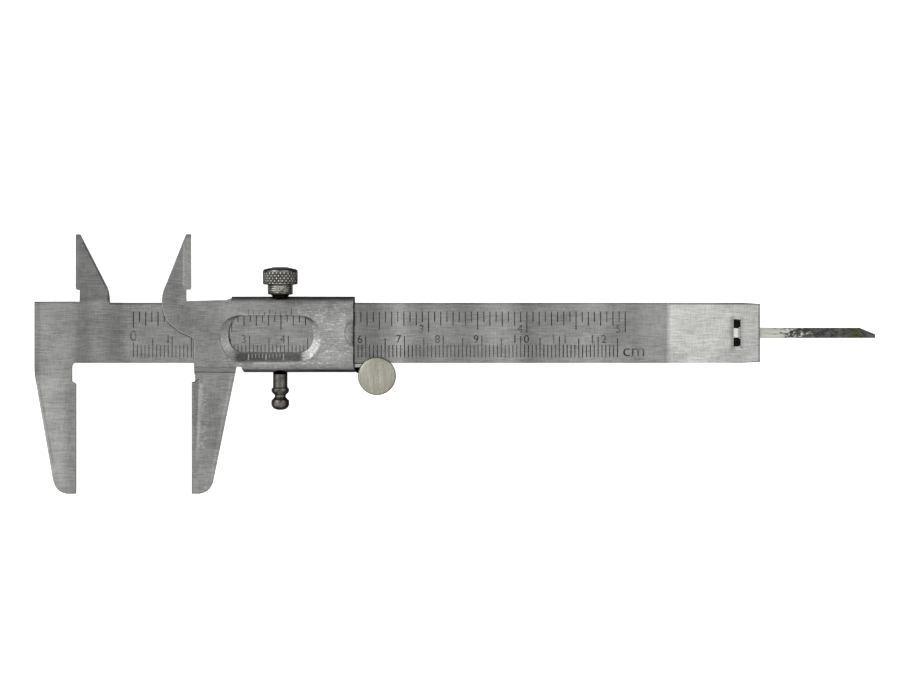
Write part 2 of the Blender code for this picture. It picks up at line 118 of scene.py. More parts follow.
# Slider, its window and the vernier on the window's bevel; X counts from the moving measuring face
SLIDER_EDGE = 0.16
WINDOW_LEFT = 9.55
WINDOW_RIGHT = 31.5
WINDOW_BOTTOM = -5.3
WINDOW_TOP = 4.45
WINDOW_RADIUS = 4.2
RIM_BOTTOM = -7.4
RIM_TOP = 4.55
WINDOW_LIP_FACE = 0.95
PLATE_END = 41.75
VERNIER_ZERO = OPENING + ZERO_X - 0.25
VERNIER_PITCH = 0.9
VERNIER_LINES = 11
INCH_VERNIER_PITCH = INCH * 7 / 128
INCH_VERNIER_LINES = 9
HOLLOW_SIZE = (2.9, 3.9, 1.0)
HOLLOW_RISE = 0.35


# ---------------------------------------------------------------- mesh helpers

def object_from(name, bm, materials):
    """Link a bmesh as an object with the materials given."""
    mesh = bpy.data.meshes.new(name)
    bm.to_mesh(mesh)
    bm.free()
    for mat in materials:
        mesh.materials.append(mat)
    obj = bpy.data.objects.new(name, mesh)
    bpy.context.collection.objects.link(obj)
    return obj


def close_out(bm):
    """Faces outwards on a closed bmesh."""
    bmesh.ops.recalc_face_normals(bm, faces=bm.faces)
    if bm.calc_volume(signed=True) < 0:
        bmesh.ops.reverse_faces(bm, faces=bm.faces)
    return bm


def apply_modifiers(obj):
    """Replace an object's mesh with its evaluated one and drop the modifiers."""
    bpy.context.view_layer.update()
    graph = bpy.context.evaluated_depsgraph_get()
    mesh = bpy.data.meshes.new_from_object(obj.evaluated_get(graph))
    obj.modifiers.clear()
    obj.data = mesh


def cut(obj, cutter):
    """Engrave or mill an object with a throwaway cutter."""
    modifier = obj.modifiers.new("cut", "BOOLEAN")
    modifier.operation = "DIFFERENCE"
    modifier.solver = "EXACT"
    modifier.object = cutter
    apply_modifiers(obj)
    bpy.data.objects.remove(cutter, do_unlink=True)


def round_edges(obj, width):
    """Bevel the hard edges by a width in the object's own units."""
    modifier = obj.modifiers.new("edges", "BEVEL")
    modifier.width = width
    modifier.segments = 2
    modifier.limit_method = "ANGLE"
    modifier.angle_limit = math.radians(28)


def shade(obj, angle):
    """Smooth shading with sharp edges past an angle, from the mesh's own shape."""
    imported = obj.data.attributes.get("custom_normal")
    if imported:
        obj.data.attributes.remove(imported)
    obj.data.shade_smooth()
    obj.data.set_sharp_from_angle(angle=math.radians(angle))


def shade_flats(obj):
    """Smooth shading for folded or milled pieces, whose large faces stay flat."""
    shade(obj, 14)
    weigh = obj.modifiers.new("flat_faces", "WEIGHTED_NORMAL")
    weigh.weight = 100
    weigh.keep_sharp = True


def cad_copy(name, node, materials):
    """A CAD node's solid as one clean mesh in datum millimetres, flat faces whole again."""
    source = frame["nodes"][node]
    bm = bmesh.new()
    bm.from_mesh(source.data)
    bmesh.ops.transform(bm, matrix=TO_DATUM, verts=bm.verts)
    bmesh.ops.remove_doubles(bm, verts=bm.verts, dist=WELD_REACH)
    bmesh.ops.dissolve_limit(bm, angle_limit=math.radians(0.5), verts=bm.verts, edges=bm.edges)
    for face in bm.faces:
        face.material_index = STEEL
    return object_from(name, close_out(bm), materials)


def into_frame(obj, body, nodes):
    """Move a finished millimetre mesh into the frame and hand it to its body."""
    obj.data.transform(TO_FRAME)
    obj.data.update()
    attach(obj, body)
    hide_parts(*nodes)


def add_prism(bm, sections, index):
    """Closed solid between matching rings of points, one after another."""
    rings = [[bm.verts.new(point) for point in section] for section in sections]
    faces = [bm.faces.new(rings[0]), bm.faces.new(rings[-1])]
    for one, two in zip(rings, rings[1:]):
        for i in range(len(one)):
            j = (i + 1) % len(one)
            faces.append(bm.faces.new((one[i], one[j], two[j], two[i])))
    for face in faces:
        face.material_index = index


def lathe(profile, segments, relief=None):
    """Closed turned solid about Z from (radius, height) points.

    relief(angle, radius, height) gives the radius of a ring's point.
    """
    bm = bmesh.new()
    rings = []
    for radius, height in profile:
        ring = []
        for i in range(segments):
            angle = math.tau * i / segments
            r = relief(angle, radius, height) if relief else radius
            ring.append(bm.verts.new((r * math.cos(angle), r * math.sin(angle), height)))
        rings.append(ring)
    bm.faces.new(rings[0])
    bm.faces.new(rings[-1])
    for lower, upper in zip(rings, rings[1:]):
        for i in range(segments):
            j = (i + 1) % segments
            bm.faces.new((lower[i], lower[j], upper[j], upper[i]))
    return close_out(bm)


def stand_along_y(bm, x, z):
    """Lay a lathe-turned solid along Y with its axis at x and z."""
    bmesh.ops.rotate(bm, matrix=Matrix.Rotation(math.radians(-90), 3, "X"), verts=bm.verts)
    bmesh.ops.translate(bm, vec=(x, 0, z), verts=bm.verts)
    return bm


def steps(start, end, count):
    """Evenly spaced values from start to end."""
    return [start + (end - start) * i / count for i in range(count + 1)]


def tooth(value):
    """Triangle wave: 0 at whole numbers, 1 half way between them."""
    return 1 - abs(2 * (value % 1.0) - 1)


def blend(low, high, value):
    """Smooth step from 0 at low to 1 at high."""
    t = min(1.0, max(0.0, (value - low) / (high - low)))
    return t * t * (3 - 2 * t)


# ---------------------------------------------------------------- engraving

GROOVE_OVER = 0.5  # how far a groove's cutter stands above the face, as a share of its depth


def add_groove(bm, start, end, width, depth, index=INK_AND_SHADE):
    """A V-shaped cutter along a line on a face that looks up; start and end are on the face."""
    start, end = Vector(start), Vector(end)
    along = (end - start).normalized()
    side = along.cross(Vector((0, 0, 1))).normalized()
    up = side.cross(along).normalized()
    wide = side * width / 2 * (1 + GROOVE_OVER)
    rise = up * depth * GROOVE_OVER
    sections = [(point + wide + rise, point - wide + rise, point - up * depth)
                for point in (start, end)]
    add_prism(bm, sections, index)


def largest_step(number, steps):
    """The value that belongs to the largest step dividing a number."""
    return steps[max(step for step in steps if number % step == 0)]


def beam_ticks(materials):
    """Millimetre and sixteenth-inch lines on the beam."""
    bm = bmesh.new()
    for i in range(MM_RANGE + 1):
        x = ZERO_X + i
        top = largest_step(i, MM_TOPS) if i else ZERO_TOP
        add_groove(bm, (x, MM_FOOT, BEAM_FACE), (x, top, BEAM_FACE), TICK_WIDTH, TICK_DEPTH)
    for i in range(INCH_RANGE * 16 + 1):
        x = ZERO_X + i * INCH / 16
        foot = largest_step(i, INCH_FEET) if i else ZERO_FOOT
        add_groove(bm, (x, foot, BEAM_FACE), (x, INCH_HEAD, BEAM_FACE), TICK_WIDTH, TICK_DEPTH)
    return object_from("ticks", close_out(bm), materials)


def glyph_mesh(text, height, centre, materials, squeeze=1.0):
    """Cutter shaped like a few characters, centred on a point of the beam's face.

    squeeze is the factor on their width.
    """
    curve = bpy.data.curves.new("glyph", "FONT")
    curve.body = text
    curve.resolution_u = 4
    letter = bpy.data.objects.new("glyph", curve)
    bpy.context.collection.objects.link(letter)
    bpy.context.view_layer.update()
    graph = bpy.context.evaluated_depsgraph_get()
    flat = bpy.data.meshes.new_from_object(letter.evaluated_get(graph))
    bpy.data.objects.remove(letter, do_unlink=True)
    bm = bmesh.new()
    bm.from_mesh(flat)
    bmesh.ops.remove_doubles(bm, verts=bm.verts, dist=0.0001)
    low = Vector((min(v.co.x for v in bm.verts), min(v.co.y for v in bm.verts), 0))
    high = Vector((max(v.co.x for v in bm.verts), max(v.co.y for v in bm.verts), 0))
    scale = height / (high.y - low.y)
    for vert in bm.verts:
        vert.co.x = centre[0] + (vert.co.x - (low.x + high.x) / 2) * scale * squeeze
        vert.co.y = centre[1] + (vert.co.y - (low.y + high.y) / 2) * scale
        vert.co.z = BEAM_FACE - DIGIT_DEPTH
    raised = bmesh.ops.extrude_face_region(bm, geom=list(bm.faces))
    top = [item for item in raised["geom"] if isinstance(item, bmesh.types.BMVert)]
    bmesh.ops.translate(bm, vec=(0, 0, 3 * DIGIT_DEPTH), verts=top)
    for face in bm.faces:
        face.material_index = PALE
    return object_from("glyph", close_out(bm), materials)


def beam_glyphs(materials):
    """Numerals of both scales and the unit mark."""
    glyphs = [glyph_mesh("0", ZERO_HEIGHT, (ZERO_X, ZERO_Y), materials)]
    for cm in range(1, MM_RANGE // 10 + 1):
        offsets = CM_DIGIT_OFFSETS if cm > 1 else (FIRST_CM_OFFSET,)
        for digit, offset in zip(str(cm), offsets):
            place = (ZERO_X + cm * 10 + offset, CM_DIGIT_Y)
            glyphs.append(glyph_mesh(digit, DIGIT_HEIGHT, place, materials))
    for inch in range(1, INCH_RANGE + 1):
        place = (ZERO_X + inch * INCH + INCH_DIGIT_OFFSET, INCH_DIGIT_Y)
        glyphs.append(glyph_mesh(str(inch), DIGIT_HEIGHT, place, materials))
    unit_place = (ZERO_X + UNIT_PLACE[0], UNIT_PLACE[1])
    glyphs.append(glyph_mesh("cm", UNIT_HEIGHT, unit_place, materials, squeeze=UNIT_SQUEEZE))
    return glyphs


def make_beam(materials):
    """The beam with rounded edges and engraved scales."""
    beam = cad_copy("engraved_beam", "beam", materials)
    round_edges(beam, BEAM_EDGE)
    apply_modifiers(beam)
    cut(beam, beam_ticks(materials))
    for glyph in beam_glyphs(materials):
        cut(beam, glyph)
    shade_flats(beam)
    into_frame(beam, "beam_body", ["beam"])


def window_path(inset, start, end):
    """Points along the window's rounded outline, a distance inside its edge.

    The angles, in degrees, run anticlockwise from the right; the straight sides come from
    the step between two corners.
    """
    radius = WINDOW_RADIUS - inset
    left = OPENING + WINDOW_LEFT + WINDOW_RADIUS
    right = OPENING + WINDOW_RIGHT - WINDOW_RADIUS
    bottom, top = WINDOW_BOTTOM + WINDOW_RADIUS, WINDOW_TOP - WINDOW_RADIUS
    points = []
    for angle in steps(start, end, 48):
        turn = math.radians(angle)
        x = (right if math.cos(turn) > 0 else left) + radius * math.cos(turn)
        y = (top if math.sin(turn) > 0 else bottom) + radius * math.sin(turn)
        points.append((x, y))
    return points


def bezier_points(corners, count):
    """Points along a cubic curve, its end points included."""
    a, b, c, d = corners
    points = []
    for t in steps(0.0, 1.0, count):
        u = 1 - t
        points.append(a * u ** 3 + b * 3 * u * u * t + c * 3 * u * t * t + d * t ** 3)
    return points


def add_strip(bm, outer, inner, levels, index):
    """Three-sided strip between two paths.

    The levels are those of the outer crest, the inner foot and the outer foot.
    """
    crest, near, far = levels
    sections = [((*a, crest), (*b, near), (*a, far)) for a, b in zip(outer, inner)]
    add_prism(bm, sections, index)


def plate_edge_path(inset):
    """The front plate's curved left edge below the inside jaw, a distance inside it."""
    lower = [Vector(c) for c in ((0.7, -2.6), (0.7, -0.5), (-1.0, -1.1), (-3.1, 0.36))]
    upper = [Vector(c) for c in ((-5.2, 2.0), (-8.45, 5.0), (-7.95, 9.9), (-6.4, 12.8))]
    points = [Vector((0.7, -7.6))] + bezier_points(lower, 12) + bezier_points(upper, 12)
    shifted = []
    for before, point, after in zip([points[0]] + points, points, points[1:] + [points[-1]]):
        along = (after - before).normalized()
        shifted.append((OPENING + point.x + along.y * inset, point.y - along.x * inset))
    return shifted


def add_wear_lines(bm):
    """Painted shade as dark strips along the window's edge and outside the plate's curved edge, a
    pale strip inside the plate's edge as a painted highlight, and burrs on the rim.
    """
    foot = BEAM_FACE + 0.03
    edge = (PLATE_FACE - WINDOW_LIP_FACE + 0.02, foot, foot)
    # painted shade: dark wedge at the window's edge, down to the beam
    add_strip(bm, window_path(-0.05, 140, 300), window_path(0.3, 140, 300), edge, INK_AND_SHADE)
    burr = (PLATE_FACE + 0.02, PLATE_FACE - 0.05, PLATE_FACE - 0.05)
    for start, end in ((150, 250), (-50, 35)):
        add_strip(bm, window_path(-2.35, start, end), window_path(-1.95, start, end), burr, STEEL)
    # painted highlight: pale strip just inside the plate's curved edge
    add_strip(bm, plate_edge_path(0.06), plate_edge_path(0.5), burr, PALE)
    # painted shadow: dark strip on the beam just outside the plate's curved edge
    pairs = zip(plate_edge_path(0.05), plate_edge_path(-0.2))
    outer, inner = zip(*[(a, b) for a, b in pairs if a[1] < 7.2])
    add_strip(bm, outer, inner, (BEAM_FACE + 0.35, foot, foot), INK_AND_SHADE)


def add_length(bm, section, low, high, index):
    """Prism along Y from a section of (X, Z) points."""
    add_prism(bm, [[(x, y, z) for x, z in section] for y in (low, high)], index)


def sheared_end_cutter(materials):
    """Wedge that slants the folded channels' right-hand end; its ink faces paint the cut dark as
    shade.
    """
    end = OPENING + PLATE_END
    section = [(end, PLATE_FACE + 0.01), (end + 0.55, PLATE_FACE - 1.6),
               (end + 2, PLATE_FACE - 1.6), (end + 2, PLATE_FACE + 1), (end, PLATE_FACE + 1)]
    bm = bmesh.new()
    add_length(bm, section, SHELL_LOW.y, 12.0, INK_AND_SHADE)
    return object_from("slanted_end_shade", close_out(bm), materials)


def add_sheared_end(bm):
    """Ink-dark wedge at the front plate's right-hand end: painted shade in the gap between plate
    and beam.
    """
    end = OPENING + PLATE_END
    section = [(end - 0.02, PLATE_FACE - 0.05), (end + 0.38, BEAM_FACE + 0.12),
               (end - 0.02, BEAM_FACE + 0.12)]
    add_length(bm, section, -8.2, 7.2, INK_AND_SHADE)


def vernier_grooves():
    """Metric vernier on the window's bevel: from the window's edge towards the bevel's foot."""
    run = WINDOW_BOTTOM - RIM_BOTTOM
    for i in range(VERNIER_LINES):
        x = VERNIER_ZERO + VERNIER_PITCH * i
        reach, width = (0.85, 0.24) if i % 5 == 0 else (0.55, 0.2)
        start = (x, WINDOW_BOTTOM - 0.02, PLATE_FACE - WINDOW_LIP_FACE)
        end = (x, WINDOW_BOTTOM - run * reach, PLATE_FACE - WINDOW_LIP_FACE * (1 - reach))
        yield start, end, width, 0.06, PALE


def inch_vernier_grooves():
    """Inch vernier on the plate above the window."""
    for i in range(INCH_VERNIER_LINES):
        x = VERNIER_ZERO + INCH_VERNIER_PITCH * i
        reach = 1.6 if i % 4 == 0 else 0.9
        yield (x, RIM_TOP - 0.1, PLATE_FACE), (x, RIM_TOP + reach, PLATE_FACE), 0.16, 0.05


def jaw_fold_grooves():
    """Shallow valley down the moving outside jaw, where the sheet was folded."""
    start = (OPENING + 1.9, -12.7, BEAM_FACE)
    end = (OPENING + 0.95, -36.0, BEAM_FACE + 0.1)
    yield start, end, 2.4, 0.26, STEEL


def relief_grooves():
    """Ink-dark groove at the relief above the moving outside jaw's measuring edge: painted shade of
    the notch.
    """
    start = (OPENING + 0.35, -12.85, BEAM_FACE)
    end = (OPENING + 1.9, -12.0, BEAM_FACE)
    yield start, end, 0.25, 0.12


def groove_cutter(name, grooves, materials):
    """Throwaway cutter from grooves, each one the arguments of add_groove."""
    bm = bmesh.new()
    for groove in grooves:
        add_groove(bm, *groove)
    return object_from(name, close_out(bm), materials)


def hollow_cutter(materials):
    """Ellipsoid that presses the shallow thumb hollow into the plate's right-hand end."""
    quarter = [(0.31, 0.95), (0.59, 0.81), (0.81, 0.59), (0.95, 0.31)]
    profile = [(0.02, -1.0)] + [(r, -h) for r, h in quarter] + [(1.0, 0.0)]
    profile += [(r, h) for r, h in reversed(quarter)] + [(0.02, 1.0)]
    hollow = lathe(profile, 48)
    bmesh.ops.scale(hollow, vec=HOLLOW_SIZE, verts=hollow.verts)
    place = (SHELL_HIGH.x, 0, PLATE_FACE + HOLLOW_RISE)
    bmesh.ops.translate(hollow, vec=place, verts=hollow.verts)
    return object_from("hollow", hollow, materials)


def make_slider(materials):
    """The folded slider with its vernier lines, thumb hollow, and painted shade and highlight
    strips along its edges.
    """
    shell = cad_copy("stamped_slider", "slider_shell", materials)
    round_edges(shell, SLIDER_EDGE)
    apply_modifiers(shell)
    for name, grooves in (("vernier", vernier_grooves()),
                          ("fold_valley", jaw_fold_grooves()),
                          ("relief_line", relief_grooves()),
                          ("inch_vernier", inch_vernier_grooves())):
        cut(shell, groove_cutter(name, grooves, materials))
    cut(shell, hollow_cutter(materials))
    cut(shell, sheared_end_cutter(materials))
    # painted shade and highlight strips, the rim's burrs and the painted shade wedge at the plate's
    # end
    wear_and_shade = bmesh.new()
    add_wear_lines(wear_and_shade)
    add_sheared_end(wear_and_shade)
    painted_edge_strips = object_from("painted_edge_strips", close_out(wear_and_shade), materials)
    bm = bmesh.new()
    bm.from_mesh(shell.data)
    bm.from_mesh(painted_edge_strips.data)
    bm.to_mesh(shell.data)
    bm.free()
    bpy.data.objects.remove(painted_edge_strips, do_unlink=True)
    shade_flats(shell)
    into_frame(shell, "slider", ["slider_shell"])


# ---------------------------------------------------------------- turned pieces

KNURL_BAND = (12.72, 15.62)
KNURL_COUNT = 27
KNURL_PITCH = 1.3
KNURL_DEPTH = 0.3
RIDGE_BAND = (10.08, 12.35)
RIDGE_PITCH = 0.52
RIDGE_DEPTH = 0.2
BARREL_DEPTH = 0.35
COLLAR_RADIUS = 3.4
HUB_RADIUS = 3.3
ROLLER_FLUTES = 60
FLUTE_DEPTH = 0.09


def knurled(angle, radius, height):
    """Diamond knurl on the head and fine ridges on the collar."""
    low, high = KNURL_BAND
    if low < height < high:
        around = KNURL_COUNT * angle / math.tau
        along = (height - low) / KNURL_PITCH
        crest = min(tooth(around + along), tooth(around - along))
        edge = blend(low, low + 0.15, height) * (1 - blend(high - 0.15, high, height))
        return radius - KNURL_DEPTH * (1 - min(1.0, 1.5 * crest)) * edge
    low, high = RIDGE_BAND
    if low < height < high:
        barrel = BARREL_DEPTH * ((height - low) / (high - low) - 0.6) ** 2
        lean = 0.12 * math.cos(angle)
        return radius - barrel - RIDGE_DEPTH * (1 - tooth((height - low + lean) / RIDGE_PITCH))
    return radius


def make_lock_screw(gunmetal):
    """Thumb screw with a diamond-knurled domed head and a ridged collar."""
    radius = (SCREW_HIGH.x - SCREW_LOW.x) / 2
    foot = SCREW_LOW.y
    profile = [(1.8, foot), (2.1, foot + 0.25), (2.1, 9.6), (2.32, 9.62), (2.32, 9.86), (2.7, 9.88),
               (COLLAR_RADIUS - 0.22, 9.95)]
    profile += [(COLLAR_RADIUS, h) for h in steps(*RIDGE_BAND, 36)]
    profile += [(COLLAR_RADIUS - 0.05, 12.46), (4.0, 12.47), (radius - 0.15, 12.55), (radius, 12.7)]
    profile += [(radius, h) for h in steps(*KNURL_BAND, 40)]
    profile += [(radius - 0.02, 16.0), (radius - 0.08, 16.2), (radius - 0.2, 16.34), (4.1, 16.46),
                (3.6, 16.6), (3.0, 16.74), (2.5, 16.84), (2.1, 16.93), (2.0, SCREW_HIGH.y),
                (0.4, SCREW_HIGH.y)]
    bm = stand_along_y(lathe(profile, 240, knurled), SCREW_X, SCREW_Z)
    screw = object_from("knurled_screw", bm, (gunmetal,))
    shade(screw, 50)
    into_frame(screw, "lock_knob", ["lock_screw"])


def make_brake_pin(gunmetal):
    """Grooved finger pin with softened shoulders and turning marks."""
    low, high = box_mm("brake_pin")
    profile = [(0.25, low.y), (0.8, -19.92), (1.3, -19.78), (1.75, -19.5), (2.1, -19.12),
               (2.28, -18.8), (2.33, -18.6), (2.33, -17.55), (2.24, -17.35), (1.95, -17.15),
               (1.5, -16.6), (1.42, -16.4), (1.42, -16.2), (1.55, -16.0), (2.16, -15.38),
               (2.3, -15.1), (2.3, -14.5), (2.24, -14.36), (2.0, -14.2), (1.9, -14.1)]
    profile += [(1.9 - 0.03 * (i % 2), y) for i, y in enumerate(steps(-13.95, -9.2, 24))]
    profile += [(1.9, -9.12), (1.8, -9.0), (0.7, -9.0), (0.7, high.y + 0.1), (0.6, high.y)]
    bm = stand_along_y(lathe(profile, 72), SCREW_X, SCREW_Z)
    pin = object_from("finger_pin", bm, (gunmetal,))
    shade(pin, 40)
    into_frame(pin, "brake", ["brake_pin"])


def make_thumb_roller(nickel):
    """Disc with a chamfered, finely grooved rim, its hub and journal."""
    bottom, top = ROLLER_LOW.z, ROLLER_HIGH.z
    radius = (ROLLER_HIGH.x - ROLLER_LOW.x) / 2
    back = BEAM_FACE + 0.15
    rim = (back + 0.25, top - 0.4)

    def fluted(angle, r, height):
        if rim[0] <= height <= rim[1]:
            return r - FLUTE_DEPTH * (1 - tooth(ROLLER_FLUTES * angle / math.tau))
        return r

    profile = [(1.35, bottom), (1.5, bottom + 0.08), (1.5, 0.2), (1.1, 0.2), (1.1, 0.5), (1.5, 0.5),
               (1.5, 1.75), (HUB_RADIUS - 0.12, 1.75), (HUB_RADIUS, 1.9), (HUB_RADIUS, back - 0.01),
               (HUB_RADIUS, back), (radius - 0.3, back), (radius - 0.1, back + 0.1),
               (radius, rim[0]), (radius, rim[1]), (radius - 0.04, top - 0.32),
               (radius - 0.3, top - 0.06), (radius - 0.45, top), (0.3, top)]
    bm = lathe(profile, 360, fluted)
    bmesh.ops.translate(bm, vec=(ROLLER_X, ROLLER_Y, 0), verts=bm.verts)
    roller = object_from("fluted_roller", bm, (nickel,))
    shade(roller, 40)
    into_frame(roller, "roller", ["thumb_roller"])


def make_rivet(node, zinc):
    """Round-headed rivet in place of a CAD rivet."""
    low, high = box_mm(node)
    radius = (high.x - low.x) / 2
    seat = low.z + 0.45
    head = [(radius * math.sin(a), seat - 0.08 - 0.37 * math.cos(a))
            for a in steps(0.15, math.pi / 2, 8)]
    profile = head + [(radius, seat), (0.7, seat), (0.7, high.z - 0.06), (0.64, high.z)]
    bm = lathe(profile, 40)
    bmesh.ops.translate(bm, vec=((low.x + high.x) / 2, (low.y + high.y) / 2, 0), verts=bm.verts)
    rivet = object_from(f"domed_{node}", bm, (zinc,))
    shade(rivet, 35)
    into_frame(rivet, "slider", [node])


# ---------------------------------------------------------------- materials

def x_at(millimetres):
    """Frame X of a place along the beam, in metres."""
    return DATUM.x + millimetres * MM


def y_at(millimetres):
    """Frame Y of a place across the beam, in metres."""
    return DATUM.y + millimetres * MM


class Shader:
    """Small helper that adds and joins shader nodes of one material."""

    def __init__(self, name):
        self.mat = bpy.data.materials.new(name)
        self.mat.use_nodes = True
        self.tree = self.mat.node_tree
        self.bsdf = self.tree.nodes["Principled BSDF"]
        self.place = self.node("ShaderNodeTexCoord").outputs["Object"]

    def node(self, kind, **settings):
        made = self.tree.nodes.new(kind)
        for key, value in settings.items():
            setattr(made, key, value)
        return made

    def link(self, source, target):
        self.tree.links.new(source, target)

    def noise(self, scale, detail=4.0, roughness=0.6, distortion=0.0, offset=(0, 0, 0)):
        """Noise whose scale is per metre along each axis."""
        mapping = self.node("ShaderNodeMapping")
        mapping.inputs["Scale"].default_value = scale
        mapping.inputs["Location"].default_value = offset
        self.link(self.place, mapping.inputs["Vector"])
        noise = self.node("ShaderNodeTexNoise")
        noise.inputs["Scale"].default_value = 1.0
        noise.inputs["Detail"].default_value = detail
        noise.inputs["Roughness"].default_value = roughness
        noise.inputs["Distortion"].default_value = distortion
        self.link(mapping.outputs["Vector"], noise.inputs["Vector"])
        return noise.outputs["Fac"]

    def remap(self, value, low, high, to_low=0.0, to_high=1.0):
        node = self.node("ShaderNodeMapRange")
        node.inputs["From Min"].default_value = low
        node.inputs["From Max"].default_value = high
        node.inputs["To Min"].default_value = to_low
        node.inputs["To Max"].default_value = to_high
        self.link(value, node.inputs["Value"])
        return node.outputs["Result"]

    def math(self, operation, a, b):
        node = self.node("ShaderNodeMath", operation=operation)
        for socket, value in zip(node.inputs, (a, b)):
            if isinstance(value, (int, float)):
                socket.default_value = value
            else:
                self.link(value, socket)
        return node.outputs["Value"]

    def mix(self, factor, a, b):
        """Colour a where factor is 0, colour b where it is 1."""
        node = self.node("ShaderNodeMix", data_type="RGBA")
        self.link(factor, node.inputs[0])
        for socket, value in ((node.inputs[6], a), (node.inputs[7], b)):
            if isinstance(value, tuple):
                socket.default_value = (*value, 1.0)
            else:
                self.link(value, socket)
        return node.outputs[2]

    def axis(self, name):
        """One coordinate of the surface point, in metres."""
        split = self.node("ShaderNodeSeparateXYZ")
        self.link(self.place, split.inputs["Vector"])
        return split.outputs[name]

    def distance(self, *places):
        """Distance of the surface point from a line, given as two (axis, place in metres) pairs."""
        squares = []
        for name, place in places:
            offset = self.math("SUBTRACT", self.axis(name), place)
            squares.append(self.math("MULTIPLY", offset, offset))
        return self.math("SQRT", self.math("ADD", *squares), 0.0)

    def band(self, axis, start, end, soft, slant=0.0):
        """1 between two places along an axis, in frame metres, with soft ends.

        A slanted band is along X and keeps to its places at Y = 0 of the datum.
        """
        along = self.axis(axis)
        if slant:
            shift = self.math("MULTIPLY", self.math("SUBTRACT", self.axis("Y"), y_at(0)), slant)
            along = self.math("SUBTRACT", along, shift)
        rise = self.remap(along, start - soft, start + soft)
        fall = self.remap(along, end - soft, end + soft, 1.0, 0.0)
        return self.math("MULTIPLY", rise, fall)

    def area(self, x_range, y_range, soft, slant=0.0):
        """1 inside ranges of X and Y given in datum millimetres; no Y range means all of Y."""
        inside = self.band("X", x_at(x_range[0]), x_at(x_range[1]), soft * MM, slant)
        if y_range:
            across = self.band("Y", y_at(y_range[0]), y_at(y_range[1]), soft * MM)
            inside = self.math("MULTIPLY", inside, across)
        return inside

    def scaled(self, colour, factor):
        """A colour multiplied by a value."""
        node = self.node("ShaderNodeVectorMath", operation="SCALE")
        self.link(colour, node.inputs[0])
        self.link(factor, node.inputs["Scale"])
        return node.outputs["Vector"]

    def bump(self, height, distance, strength, under=None):
        node = self.node("ShaderNodeBump")
        node.inputs["Distance"].default_value = distance
        node.inputs["Strength"].default_value = strength
        self.link(height, node.inputs["Height"])
        if under is not None:
            self.link(under, node.inputs["Normal"])
        return node.outputs["Normal"]

    def finish(self, colour, roughness, normal, metallic=1.0):
        self.link(colour, self.bsdf.inputs["Base Color"])
        self.link(roughness, self.bsdf.inputs["Roughness"])
        self.link(normal, self.bsdf.inputs["Normal"])
        self.bsdf.inputs["Metallic"].default_value = metallic
        return self.mat


LEAST_GAIN = 0.2


def brushed_steel(name, dark, light, patches=(), stain=0.4, flecks=()):
    """Brushed steel: fine streaks both ways, grain, soft smudges and lighter or darker patches.

    A patch is (X range, Y range, softness, amount[, slant]) in datum millimetres; the X range holds
    at Y = 0 and moves by slant for each millimetre of Y. Amount is added to the colour's gain.
    Flecks are areas with short bright dashes, each (X range, Y range, softness, amount).
    """
    s = Shader(name)
    streaks = s.noise((330, 4200, 4200), detail=4.0, roughness=0.65)
    across = s.noise((4200, 420, 4200), detail=3.0, roughness=0.6, offset=(3.1, 0.7, 0.2))
    grainy = s.noise((3400, 3800, 3800), detail=2.0, roughness=0.7, offset=(0.4, 2.2, 0.0))
    smudge = s.noise((110, 160, 160), detail=4.0, roughness=0.6, distortion=0.6)
    tone = s.math("ADD", s.math("MULTIPLY", streaks, 0.5), s.math("MULTIPLY", across, 0.22))
    tone = s.math("ADD", tone, s.math("MULTIPLY", grainy, 0.28))
    tone = s.remap(tone, 0.37, 0.63)
    tone = s.math("ADD", tone, s.remap(smudge, 0.3, 0.7, -stain / 2, stain / 2))
    colour = s.mix(s.remap(tone, 0.0, 1.0), dark, light)
    gain = 1.0
    for patch in patches:
        gain = s.math("ADD", s.math("MULTIPLY", s.area(*patch[:3], *patch[4:]), patch[3]), gain)
    if flecks:
        dash = s.noise((1000, 2500, 2500), detail=2.0, roughness=0.55, offset=(1.7, 5.2, 0.3))
        dash = s.remap(dash, 0.56, 0.68)
    for x_range, y_range, soft, amount in flecks:
        inside = s.area(x_range, y_range, soft)
        bright = s.math("MULTIPLY", inside, s.math("MULTIPLY", dash, amount))
        gain = s.math("ADD", bright, gain)
    if patches or flecks:
        colour = s.scaled(colour, s.math("MAXIMUM", gain, LEAST_GAIN))
    roughness = s.remap(smudge, 0.3, 0.7, 0.3, 0.46)
    normal = s.bump(streaks, 0.00001, 0.6)
    normal = s.bump(grainy, 0.00001, 0.3, under=normal)
    return s.finish(colour, roughness, normal)


